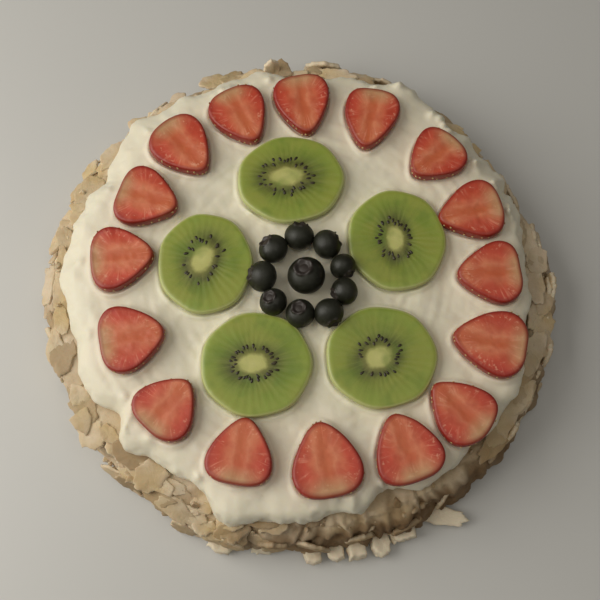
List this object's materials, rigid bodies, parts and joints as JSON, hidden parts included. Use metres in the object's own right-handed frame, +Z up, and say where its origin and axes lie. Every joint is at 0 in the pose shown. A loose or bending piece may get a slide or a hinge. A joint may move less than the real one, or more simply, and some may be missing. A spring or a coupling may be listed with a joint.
{
  "type": "pavlova",
  "caption": "Round pavlova: a craggy meringue base, a thick layer of whipped cream, and rings of strawberry slices, kiwi slices and blueberries.",
  "frame": {"origin": "centre of the flat underside, at the bottom centre of the bounding box", "axes": "+Z up; the fruit rings lie in the XY plane, +Y away from the picture's viewer and +X to the right"},
  "size_m": [0.2482, 0.25, 0.0518],
  "materials": {
    "meringue": "matte, crumbly baked meringue, pale beige with tan cracks",
    "cream": "soft satin whipped cream, off-white",
    "strawberry": "moist cut strawberry flesh, pale heart and red margin",
    "kiwi": "moist cut kiwi flesh with pale core and dark seeds",
    "blueberry": "satin dark blue skin with a thin waxy bloom"
  },
  "bodies": {
    "root": {"crust": "meringue", "cream": "cream", "strawberry_slice_01": "strawberry", "strawberry_slice_02": "strawberry", "strawberry_slice_03": "strawberry", "strawberry_slice_04": "strawberry", "strawberry_slice_05": "strawberry", "strawberry_slice_06": "strawberry", "strawberry_slice_07": "strawberry", "strawberry_slice_08": "strawberry", "strawberry_slice_09": "strawberry", "strawberry_slice_10": "strawberry", "strawberry_slice_11": "strawberry", "strawberry_slice_12": "strawberry", "strawberry_slice_13": "strawberry", "strawberry_slice_14": "strawberry", "strawberry_slice_15": "strawberry", "strawberry_slice_16": "strawberry", "kiwi_slice_1": "kiwi", "kiwi_slice_2": "kiwi", "kiwi_slice_3": "kiwi", "kiwi_slice_4": "kiwi", "kiwi_slice_5": "kiwi", "blueberry_01": "blueberry", "blueberry_02": "blueberry", "blueberry_03": "blueberry", "blueberry_04": "blueberry", "blueberry_05": "blueberry", "blueberry_06": "blueberry", "blueberry_07": "blueberry", "blueberry_08": "blueberry", "blueberry_09": "blueberry", "blueberry_10": "blueberry"}
  },
  "joints": []
}
